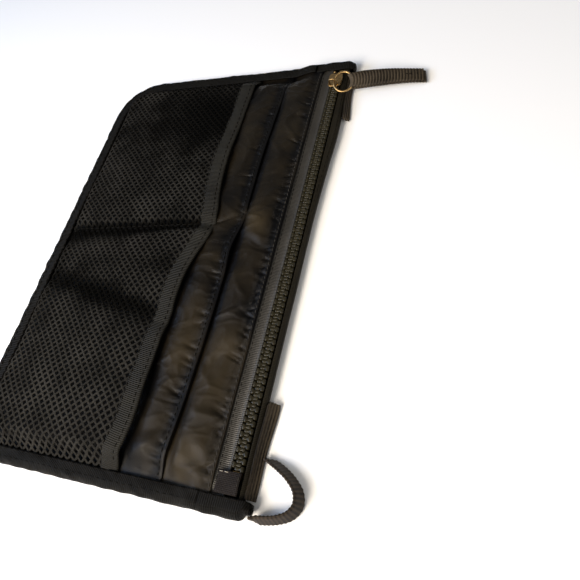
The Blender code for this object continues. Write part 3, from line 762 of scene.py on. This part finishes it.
def build_mouth_tape():
    """Tape folded over the upper edge of the net, wavier where the net is slack."""
    x = x_steps(0.8, HALF_LENGTH - BINDING_W - 0.2)
    mouth = mouth_mesh(x)[:, None]
    wave = 0.35 * drift(x, 0 * x, 9, 61)
    edge_z = (mouth_tape_height(x) + 0.25 * drift(x, 0 * x, 12, 62))[:, None]
    across = np.array([0.0, 0.25, 0.9, 2.2, 4.0, 6.0, 7.6, 8.6, TAPE_W])
    y = mouth - across + (wave[:, None] * (across == TAPE_W))
    hug = smooth((across - 1.0) / 6.0)
    crown = 0.55 + 0.35 * np.sin(pi * np.clip(across / TAPE_W, 0, 1))
    z = (edge_z * (1 - hug) + mesh_height(x[:, None], y) * hug) + crown
    z[:, :1] = edge_z + 0.25
    z += 0.1 * drift(x[:, None], y, 6, 63)
    under_y = mouth - np.array([0.15, 1.2, 3.0, 5.0, 6.5])
    under_z = edge_z - np.array([0.3, 0.62, 0.66, 0.66, 0.66])
    p = stacked(x[:, None], np.hstack([y[:, ::-1], under_y]), np.hstack([z[:, ::-1], under_z]))
    sheet("mesh_mouth_tape_cloth", p, 0.4, MOUTH_TAPE, replaced=["mesh_mouth_tape"], slot="grosgrain")
    for name, k in (("stitch_tape_low", 7), ("stitch_tape_high", 3)):
        stitches(name, stacked(x, y[:, k], z[:, k] + 0.22)[4:-4], THREAD, length=2.4)


# -------------------------------- edge binding and corner caps
def outline_stations(step=1.0):
    """Points round the bound edge, from the far zipper end to the near one, and inward unit vectors."""
    top = box_mm("edge_binding")[1][1]
    centre = (HALF_LENGTH - CORNER_R, BOTTOM_Y + CORNER_R)
    side = np.arange(top, centre[1], -step)
    arc = np.linspace(0, pi / 2, int(CORNER_R * pi / 2 / step))
    base = np.arange(centre[0] - step / 2, 0, -step)
    x = np.concatenate([np.full(len(side), HALF_LENGTH), centre[0] + CORNER_R * np.cos(arc), base])
    y = np.concatenate([side, centre[1] - CORNER_R * np.sin(arc), np.full(len(base), BOTTOM_Y)])
    nx = np.concatenate([np.full(len(side), -1.0), -np.cos(arc), 0 * base])
    ny = np.concatenate([0 * side, np.sin(arc), np.ones(len(base))])
    half = np.stack([x, y, nx, ny], 1)
    other = half[::-1] * [-1, 1, -1, 1]
    return np.concatenate([half, other])[::-1]


def folded_section(width, low, high, wall):
    """Section of tape folded round an edge: (inward, height) of its middle, from top to underside."""
    half = (high - low) / 2
    legs = np.array([1.0, 0.93, 0.8, 0.62, 0.45, 0.3]) * width
    angle = np.radians([15, 35, 60, 90, 120, 145, 165])
    turn_n = wall + (half * 0.9) * (1 - np.sin(angle))
    turn_z = (low + high) / 2 + half * np.cos(angle)
    n = np.concatenate([legs, turn_n, legs[::-1]])
    z = np.concatenate([0 * legs + high, turn_z, 0 * legs + low])
    return n, z


def build_edge_binding():
    """Puckered tape folded round both ends and the bottom edge."""
    stations = outline_stations()
    way = way_along(stations[:, :2])
    lip = between(LIP_Z, mouth_share(stations[:, 1]))
    grid = []
    for (x, y, nx, ny), s, high in zip(stations, way, lip):
        n, z = folded_section(BINDING_W, 0.45, high + 0.3, 0.25)
        top = np.clip((z - 2) / 2, 0, 1)
        outer = np.clip((6 - n) / 4, 0, 1)
        pucker = 0.24 * drift(s, n * 2, 6, 71) + 0.16 * drift(s, n * 3, 3.4, 72)
        crown = 0.5 * np.sin(pi * np.clip(n / BINDING_W, 0, 1)) ** 0.8
        z = z + top * (crown + pucker + 0.12)
        n = n + outer * 0.25 * drift(s, z * 2, 7, 73) + (n > 9) * 0.35 * drift(s, 0 * n, 9, 74)
        grid.append(stacked(x + n * nx, y + n * ny, z))
    p = np.array(grid)
    weave = stacked(way[:, None], np.arange(p.shape[1]) * 1.2, 0)
    sheet("edge_binding_tape", p, 0.4, GROSGRAIN, weave=weave, replaced=["edge_binding"],
          slot="grosgrain")
    for name, k in (("stitch_binding_inner", 1), ("stitch_binding_outer", 4)):
        stitches(name, (p[:, k] + [0, 0, 0.24])[6:-6], THREAD, length=2.6)
    stitches("stitch_binding_back", (p[:, -2] + [0, 0, -0.2])[6:-6], THREAD, length=2.6, radius=0.12,
             up=(0, 0, -1))


CAP_MIDDLE = 3.6                 # height at which the end of a corner cap closes
CAP_TUCK = [(1.0, -0.5), (1.0, -0.1), (0.85, 0.25), (0.5, 0.38), (0.1, 0.4)]
# sections of its tucked-in end: (share of the cap's width, how far out)


def build_corner_cap(node, side):
    """Tape folded over one end of the zipper, closed and tucked in at its end."""
    low, high = box_mm(node)
    seed = 80 + side
    grid = []
    for v in np.linspace(low[1], high[1] - 0.3, 32):
        t = (v - low[1]) / (high[1] - low[1])
        shut = smooth((t - 0.86) / 0.14)
        n, z = folded_section(BINDING_W - 0.2, 0.6, high[2] - 0.35, 0.3)
        z = CAP_MIDDLE + (z - CAP_MIDDLE) * (1 - 0.55 * shut)
        top = np.clip((z - 3) / 2, 0, 1)
        z = z + top * (0.45 * drift(v, n, 8, seed) * (1 - shut) + 0.3 * np.sin(pi * n / BINDING_W))
        short = 2.6 * smooth((v - high[1] + 4.2) / 0.9) * (side > 0)
        n = n * (1 - 0.25 * shut) + 0.6 * shut + np.clip((6 - n) / 4, 0, 1) * 0.3 * drift(v, z, 6, seed)
        n = n + short * np.clip((BINDING_W - n) / BINDING_W, 0, 1)
        grid.append(stacked(side * (HALF_LENGTH - n), v + 0.4 * drift(n, z, 7, seed + 3) * t, z))
    p = np.array(grid)
    name = node + "_tape"
    sheet(name, p, 0.55, GROSGRAIN, replaced=[node], slot="grosgrain")
    stitches("stitch_" + name, p[2:26, 1] + [0, 0, 0.32], THREAD, length=2.4)
    centre = p[-1].mean(0)
    tuck = np.array([centre + (p[-1] - centre) * [share, 1, share] + [0, out, 0] for share, out in CAP_TUCK])
    beads(name + "_tuck", [tuck], GROSGRAIN,
          weave=tuck.reshape(-1, 3)[:, [0, 2, 1]] * [1, 1, 0])


# -------------------------------- zipper
def tape_height(x, y):
    """Middle of the front tape: it comes up to meet the hem of pocket A."""
    up = 1.15 * smooth((68.6 - y) / 4.5) * smooth((HALF_LENGTH - BINDING_W - abs(x)) / 5 + 0.3)
    return TAPE_Z + up + 0.1 * drift(x, y, 14, 91) * (y > 64)


BACK_EDGE = 0.45                 # the back tape starts to fold down this far before its outer edge
FRONT_SEAM_Y = 65.6              # line of thread on the front tape
# Rows of the front tape, as shares of its width
FRONT_ROWS = np.array([0, 0.2, 0.35, 0.45, 0.55, 0.65, 0.75, 0.85, 0.93, 1.0])


def build_front_tape():
    """Woven tape from the hem of pocket A to the chain, where its edge is corded."""
    low, high = box_mm("zip_tape_front")
    x = x_steps(1.0, high[0])
    y = low[1] + (high[1] + 0.4 - low[1]) * FRONT_ROWS
    cord = 0.3 * np.exp(-(((y - high[1] - 0.3) / 0.5) ** 2))
    p = stacked(x[:, None], y, tape_height(x[:, None], y) + cord)
    sheet("zip_tape_front_cloth", p, 0.42 + 0.5 * cord, SATIN,
          replaced=["zip_tape_front"], slot="zip_tape")


def build_back_tape():
    """The other tape, which folds down outside the pouch."""
    inner = box_mm("zip_tape_back")[0][1]
    x = x_steps(1.0, box_mm("zip_tape_front")[1][0])
    out = (fold_y(x) - BACK_EDGE)[:, None]
    t = np.array([0, 0.12, 0.3, 0.5, 0.7, 0.85, 1.0])
    flat_y = inner + (out - inner) * t
    flat_z = TAPE_Z + 0.4 * np.exp(-((flat_y - inner) / 0.7) ** 2) - 0.5 * t**3
    y = np.hstack([flat_y, out + np.array([0.25, 0.42, 0.45, 0.42])])
    z = np.hstack([flat_z, flat_z[:, -1:] - np.array([0.25, 0.8, 1.5, 2.1])])
    z = z + 0.12 * drift(x[:, None], y, 18, 92)
    sheet("zip_tape_back_cloth", stacked(x[:, None], y, z), 0.42, OLIVE,
          replaced=["zip_tape_back"], slot="zip_tape")


def build_tape_stitches():
    """A line of thread on each tape: along the fold of the back one, beside the hem on the front one."""
    x = x_steps(1.0, box_mm("zip_tape_front")[1][0])
    path = stacked(x, fold_y(x) - BACK_EDGE - 0.7, TAPE_Z + 0.1)
    stitches("stitch_back_tape", path[12:-12], THREAD, length=2.3, radius=0.16)
    x = x_steps(1.0, 115)
    path = stacked(x, FRONT_SEAM_Y, tape_height(x, FRONT_SEAM_Y) + 0.25)
    stitches("stitch_front_tape", path, THREAD, length=2.0, gap=0.8, radius=0.15)


# Sections of one tooth: across the chain, half its width, lowest and highest point
TOOTH = [(-2.8, 0.75, 4.35, 5.6), (-2.65, 1.12, 3.9, 6.15), (-2.35, 1.2, 3.7, 6.45),
         (-1.7, 1.2, 3.7, 6.45), (-1.48, 0.98, 3.8, 6.35), (-1.25, 0.66, 3.95, 6.15),
         (-0.3, 0.6, 4.0, 6.1), (0.35, 0.78, 3.9, 6.25), (1.0, 0.76, 3.9, 6.25),
         (1.3, 0.6, 4.1, 6.0), (1.42, 0.35, 4.5, 5.6)]


def rounded(half, low, high, corner=0.32):
    """A rectangle with cut corners, in (along, height)."""
    c = min(corner, half * 0.6, (high - low) * 0.3)
    d = c * 0.3
    quarter = [(half, high - c), (half - d, high - d), (half - c, high)]
    left = [(-a, b) for a, b in quarter[::-1]]
    under = [(a, low + high - b) for a, b in (quarter + left)[::-1]]
    return quarter + left + under


def build_teeth(node, side, shift):
    parts = []
    for k in range(TEETH):
        x = CHAIN_START + PITCH / 4 + shift + k * PITCH
        rings = [[(x + a, CHAIN_Y + side * y, z) for a, z in rounded(half, low, high)]
                 for y, half, low, high in TOOTH]
        parts.append(np.array(rings))
    beads(node + "_row", parts, PLASTIC, replaced=[node], slot="teeth")


def build_stops():
    """Metal clips crimped over the chain's ends."""
    for node in ("bottom_stop", "top_stop_front", "top_stop_back"):
        low, high = box_mm(node)
        middle, half = (low + high) / 2, (high - low) / 2 * [1, 0.8, 1]
        rings = []
        for t in np.linspace(-1, 1, 9):
            shrink = (1 - abs(t) ** 6) ** 0.5 * 0.25 + 0.75
            shape = rounded(half[0] * shrink, -half[2] * shrink, half[2] * shrink + 0.15)
            rings.append([(middle[0] + a, middle[1] + t * half[1], middle[2] + b) for a, b in shape])
        beads(node + "_clip", [np.array(rings)], BRASS, replaced=[node], slot="brass")


def beveled(bm, width):
    """Rounds the sharp edges of a bmesh and returns its points and faces."""
    edges = [e for e in bm.edges if len(e.link_faces) == 2 and e.calc_face_angle() > 0.5]
    bmesh.ops.bevel(bm, geom=edges, offset=width, segments=3, profile=0.6, affect="EDGES")
    bm.verts.ensure_lookup_table()
    points = np.array([v.co for v in bm.verts])
    faces = [[v.index for v in f.verts] for f in bm.faces]
    bm.free()
    return points, faces


def prism(outline, low, high):
    bm = bmesh.new()
    base = [bm.verts.new((x, y, low)) for x, y in outline]
    top = [bm.verts.new((x, y, high)) for x, y in outline]
    bm.faces.new(base)
    bm.faces.new(top)
    for i in range(len(outline)):
        j = (i + 1) % len(outline)
        bm.faces.new((base[i], base[j], top[j], top[i]))
    bmesh.ops.recalc_face_normals(bm, faces=bm.faces)
    return bm


PLATE_T, FLANGE_T = 0.95, 0.6    # thickness of the slider's plates and flanges
WIDE, NARROW = 3.95, 3.75        # half the slider's width, in front and behind
BODY_H = 5.0                     # height of the slider without its bail
BAIL_HALF, BAIL_W = 2.4, 0.65    # half the bail's span across, and half its width


def slider_bail(x, foot, top):
    """Sections of the strip that arches over the slider and holds the ring."""
    path = []
    for angle in np.linspace(-0.35, pi + 0.35, 27):
        y = BAIL_HALF * np.sign(cos(angle)) * abs(cos(angle)) ** 0.6
        rise = sin(angle)
        path.append((x, CHAIN_Y + y, foot + (top - foot) * rise ** 0.6 if rise > 0 else foot - 0.35))
    path = resampled(np.array(path), 0.4)
    side, up = frames_along(path, np.broadcast_to([1.0, 0, 0], path.shape))
    shape = rounded(BAIL_W, -0.42, 0.42, 0.25)
    return np.array([[path[i] + a * up[i] + b * side[i] for a, b in shape] for i in range(len(path))])


def build_slider():
    """Slider: two rounded plates, a wedge between them, flanges, and a bail over the top."""
    low, high = box_mm("zip_slider")
    x0, x1, z0 = low[0], high[0], low[2]
    z1 = z0 + BODY_H
    shoulder = x0 + 3.4
    half = [(x1, NARROW - 1.4), (x1 - 0.5, NARROW - 0.4), (x1 - 1.4, NARROW), (shoulder + 2.8, NARROW),
            (shoulder + 1.2, NARROW + 0.45), (shoulder - 0.4, WIDE), (x0 + 1.4, WIDE),
            (x0 + 0.5, WIDE - 0.6), (x0 + 0.1, WIDE - 1.7), (x0, 1.9), (x0 + 0.4, 0.9), (x0 + 0.5, 0.0)]
    outline = [(x, CHAIN_Y + y) for x, y in half + [(x, -y) for x, y in half[-2::-1]]]
    wedge = [(x0 + x, CHAIN_Y + y) for x, y in ((0.5, -0.4), (1.0, -0.4), (1.4, 0), (1.0, 0.4), (0.5, 0.4))]
    solids = [(outline, z1 - PLATE_T, z1, 0.28), (outline, z0, z0 + PLATE_T, 0.28),
              (wedge, z0 + PLATE_T - 0.1, z1 - PLATE_T + 0.1, 0.15)]
    flank = half[2:8] + [(x, y - FLANGE_T) for x, y in half[7:1:-1]]
    for side in (-1, 1):
        rail = [(x, CHAIN_Y + side * (y - 0.05)) for x, y in flank]
        solids.append((rail, z0 + PLATE_T - 0.2, z0 + 1.8, 0.15))
        solids.append((rail, z1 - 1.6, z1 - PLATE_T + 0.2, 0.15))
    points, faces, start = [], [], 0
    for shape, bottom, top, rounding in solids:
        p, f = beveled(prism(shape, bottom, top), rounding)
        points.append(p)
        faces += [[i + start for i in face] for face in f]
        start += len(p)
    bail = slider_bail(joint("ring_swing")[0][0], z1, high[2] - 0.45)
    points.append(bail.reshape(-1, 3))
    faces += tube_faces(*bail.shape[:2], start)
    piece = mesh_object("zip_slider_body", np.concatenate(points), faces, BRASS, body="slider",
                        replaced=["zip_slider"], slot="brass")
    piece.data.set_sharp_from_angle(angle=radians(50))


# -------------------------------- ring, pull and loop
WIRE_R = 0.65                    # half the thickness of the ring's wire


def ring_axes():
    """Centre, radius and unit vectors of the ring: away from the slider, across, and its normal."""
    hinge, _ = joint("ring_swing")
    centre, normal = joint("pull_swivel")
    away = centre - hinge
    radius = np.linalg.norm(away)
    away = away / radius
    return centre, radius, away, np.cross(away, normal), normal


def build_ring():
    centre, radius, away, across, normal = ring_axes()
    rings = []
    for a in np.linspace(0, 2 * pi, 72, endpoint=False):
        out = cos(a) * away + sin(a) * across
        rings.append([centre + out * (radius + WIRE_R * cos(b)) + normal * WIRE_R * sin(b)
                      for b in np.linspace(0, 2 * pi, 14, endpoint=False)])
    rings = np.array(rings)
    count, size = rings.shape[:2]
    faces = np.array(grid_faces(count + 1, size, wrap=True)) % (count * size)
    mesh_object("pull_ring_wire", rings.reshape(-1, 3), faces.tolist(), BRASS, body="ring",
                replaced=["pull_ring"], slot="brass")


PULL_TURN = -10.0                # degrees round the ring, towards -X
PULL_REACH = 44.5                # from the ring's centre to the tip
PULL_SAG = 4.6                   # how far the tip hangs down
PULL_W = 9.0
PULL_POINTS = 145                # along each of its two layers
PULL_NARROW = 0.86               # share of its width where it passes the ring
WRAP_R = 1.3                     # the webbing's middle goes round the wire with this radius


def pull_frame(distance, sideways):
    """A point in the middle of the pull, at a distance from the ring's centre, and its face's normal."""
    centre, radius, away, across, _ = ring_axes()
    turn = radians(PULL_TURN)
    out = cos(turn) * away + sin(turn) * across
    side = cos(turn) * across - sin(turn) * away
    t = max(distance - radius, 0) / (PULL_REACH - radius)
    middle = centre + distance * out - np.array([0, 0, PULL_SAG * t * t])
    flat = np.array([out[1], -out[0], 0])
    flat /= np.linalg.norm(flat)
    width = side + (flat - side) * float(smooth(t))
    width /= np.linalg.norm(width)
    ahead = out - np.array([0, 0, 2 * PULL_SAG * t / (PULL_REACH - radius)])
    face = np.cross(width, ahead)
    return middle + sideways * width, face / np.linalg.norm(face)


def build_pull():
    """Webbing that runs from its tip to the ring, round the wire, and back over itself."""
    radius = ring_axes()[1]
    across = np.linspace(-1, 1, 17)
    wrap = np.linspace(0, pi, 14)[1:-1]
    near = PULL_W / 2 * PULL_NARROW
    grid = []
    for w in across:
        bend = sqrt(radius**2 - (w * near) ** 2)
        legs = []
        for layer, reach in ((-1, PULL_REACH + 0.9), (1, PULL_REACH - 0.6)):
            leg = []
            for d in np.linspace(bend, reach, PULL_POINTS):
                part = float(smooth((d - bend) / 7))
                half = PULL_W / 2 * (PULL_NARROW + (1 - PULL_NARROW) * part)
                gap = WRAP_R * (1 - part) + 0.5 * part
                rib = 0.26 * (0.5 - 0.5 * cos(2 * pi * d / RIB)) ** 0.7
                middle, face = pull_frame(d, w * half + 0.5 - layer * 0.2)
                leg.append(middle + face * layer * (gap + rib - 0.16 * abs(w) ** 8))
            legs.append(leg)
        turned = []
        for a in wrap:
            middle, face = pull_frame(bend - WRAP_R * sin(a), w * near + 0.5)
            turned.append(middle - face * WRAP_R * cos(a))
        grid.append(legs[0][::-1] + turned + legs[1])
    p = np.array(grid)
    along = np.linspace(radius, PULL_REACH, PULL_POINTS)
    along = np.concatenate([along[::-1], np.full(len(wrap), radius), along])
    sheet("pull_webbing_strap", p, 0.85 - 0.35 * (abs(across) ** 6)[:, None], TAN_WEBBING, body="pull",
          weave=stacked(along, across[:, None] * PULL_W / 2, 0), replaced=["pull_webbing"], slot="webbing")
    top = p[:, -PULL_POINTS:]
    for name, points in (("stitch_pull_cross", top[2:-2, -14]), ("stitch_pull_long", top[8, -38:-14])):
        stitches(name, points + [0, 0, 0.5], THREAD, body="pull", length=1.8, gap=0.5, radius=0.22)


# Middle of the hang loop as seen from above
LOOP_ROUTE = [(102, 82.3), (103, 86.8), (105.1, 91.6), (108.5, 96.6), (112.8, 100.2), (117, 100.9),
              (120.7, 98.6), (123.1, 94), (124.4, 88.5), (125, 83.5)]


def build_hang_loop():
    """Ribbed webbing that stands on its edge and arches out from the zipper side."""
    low, high = box_mm("hang_loop")
    route = np.array(LOOP_ROUTE, float)
    way = way_along(route)
    fine = np.arange(0, way[-1], 0.28)
    path = stacked(*(curve(stacked(way, route[:, k]))(fine) for k in (0, 1)), 0.0)
    path[:, 1] = np.maximum(path[:, 1], 83.3)
    side, _ = frames_along(path, np.broadcast_to([0, 0, 1.0], path.shape))
    heights = np.linspace(low[2], high[2] - 1.6, 15)
    rib = 0.25 * np.cos(2 * pi * fine / RIB)
    lean = 2.6 * smooth(fine / 6) * smooth((fine[-1] - fine) / 3)
    grid = []
    for z in heights:
        share = (z - low[2]) / (high[2] - low[2])
        sway = lean * (share - 0.5) + 0.12 * drift(fine, z, 12, 95)
        rise = low[2] + (z - low[2]) * (1 - 0.03 * lean) * (0.5 + 0.5 * smooth(fine / 11))
        grid.append(path + side * sway[:, None] + stacked(0, 0, rise))
    edge = (np.linspace(-1, 1, len(heights)) ** 8)[:, None]
    sheet("hang_loop_strap", np.array(grid), 1.25 + rib - 0.45 * edge, WEBBING, body="loop",
          weave=stacked(fine, heights[:, None], 0), replaced=["hang_loop"], slot="webbing")


def build_tab(node, side, lean):
    """A webbing tab sewn to the zipper side, with long ribs; it runs under the binding at one end."""
    low, high = box_mm(node)
    reach = HALF_LENGTH - BINDING_W - 0.4
    x = np.linspace(low[0], reach, 70) if side > 0 else np.linspace(-reach, high[0], 70)
    start = (x - low[0]) if side > 0 else (high[0] - x)
    corner = np.clip(1 - start / 2.2, 0, 1) ** 2
    top = (high[2] - 1.3 * corner)[:, None]
    foot = (low[2] + 0.25 + 0.7 * corner)[:, None]
    t = np.linspace(0, 1, 26)
    z = top + (foot - top) * t
    swing = lean * (0.75 + 0.25 * smooth(1 - start / 26))
    inner = fold_y(x) + 0.35 + 0.5 * smooth(1 - start / 22)
    y = inner[:, None] + swing[:, None] * t + 0.2 * drift(x[:, None], z, 16, 96)
    rib = 0.3 * np.cos(2 * pi * t * 3.5)
    sheet(node + "_strap", stacked(x[:, None], y, z), 0.95 + rib, TAN_WEBBING,
          weave=stacked(t * 7.0, x[:, None], 0), replaced=[node], slot="webbing")


def build_end_patch():
    """The small cloth patch sewn over the far end of the zipper's tape."""
    low, high = box_mm("zip_end_patch")
    low, high = low + [0.0, -1.6, 0], high + [1.9, 0.3, 0]
    x = np.linspace(low[0], high[0], 16)[:, None]
    y = np.linspace(low[1], high[1], 18)
    p = stacked(x, y, high[2] - 0.2 + 0.18 * drift(x, y, 5, 97))
    sheet("zip_end_patch_cloth", p, 0.35, PATCH, replaced=["zip_end_patch"], slot="webbing")
    path = stacked(low[0] + 0.7, np.linspace(low[1] + 0.2, high[1] - 5.2, 30), high[2] + 0.1)
    stitches("stitch_patch", path, PALE_THREAD, length=0.7, gap=1.6, radius=0.14)
    path = stacked(np.linspace(low[0] + 1.5, high[0] - 1.5, 30), high[1] - 0.7, high[2] + 0.1)
    stitches("stitch_patch_edge", path, GREY_AND_HIGHLIGHT_THREAD, length=0.8, gap=1.4, radius=0.16)


# -------------------------------- studio
def build_studio():
    floor = bpy.data.meshes.new("studio_floor")
    floor.from_pydata([(-3, -3, 0), (3, -3, 0), (3, 3, 0), (-3, 3, 0)], [], [(0, 1, 2, 3)])
    floor.materials.append(new_material("pale_floor", (0.9, 0.92, 0.95), 0.9, specular=0.1))
    placed("studio_floor", floor)

    world = bpy.data.worlds.new("studio_world")
    world.use_nodes = True
    background = world.node_tree.nodes["Background"]
    background.inputs["Color"].default_value = (1.0, 0.985, 0.96, 1)
    background.inputs["Strength"].default_value = 0.26
    bpy.context.scene.world = world

    for name, place, size, power, color in (
            ("key_light", (0.5, -0.2, 0.5), (0.36, 0.36), 8.5, (1.0, 0.88, 0.73)),
            ("window_light", (0.25, -0.65, 0.48), (0.5, 0.25), 4.6, (0.5, 0.68, 1.0)),
            ("zip_side_light", (0.3, 0.6, 0.4), (0.4, 0.25), 1.0, (1.0, 0.93, 0.82))):
        light = bpy.data.lights.new(name, "AREA")
        light.shape = "RECTANGLE"
        light.size, light.size_y = size
        light.energy = power
        light.color = color
        lamp = placed(name, light)
        lamp.location = place
        lamp.rotation_euler = (-Vector(place)).to_track_quat("-Z", "Y").to_euler()

    camera = bpy.data.cameras.new("camera")
    camera.lens = 32.4
    camera.clip_start = 0.01
    viewer = placed("camera", camera)
    right, up, back = (-0.2178, 0.9277, -0.3033), (-0.8826, -0.0545, 0.4669), (0.4165, 0.3694, 0.8307)
    turn = Matrix((right, up, back)).transposed().to_4x4()
    viewer.matrix_world = Matrix.Translation((0.1277, 0.1676, 0.209)) @ turn
    bpy.context.scene.camera = viewer
    bpy.context.scene.view_settings.view_transform = "Standard"


build_studio()
build_back_panel()
build_front_panel()
build_pockets()
build_mesh_pockets()
build_mouth_tape()
build_edge_binding()
build_corner_cap("corner_cap_near", 1)
build_corner_cap("corner_cap_far", -1)
build_front_tape()
build_back_tape()
build_tape_stitches()
build_teeth("zip_teeth_front", 1, 0.0)
build_teeth("zip_teeth_back", -1, PITCH / 2)
build_stops()
build_slider()
build_ring()
build_pull()
build_hang_loop()
build_tab("side_tab_near", 1, 4.2)
build_tab("side_tab_far", -1, 3.3)
build_end_patch()
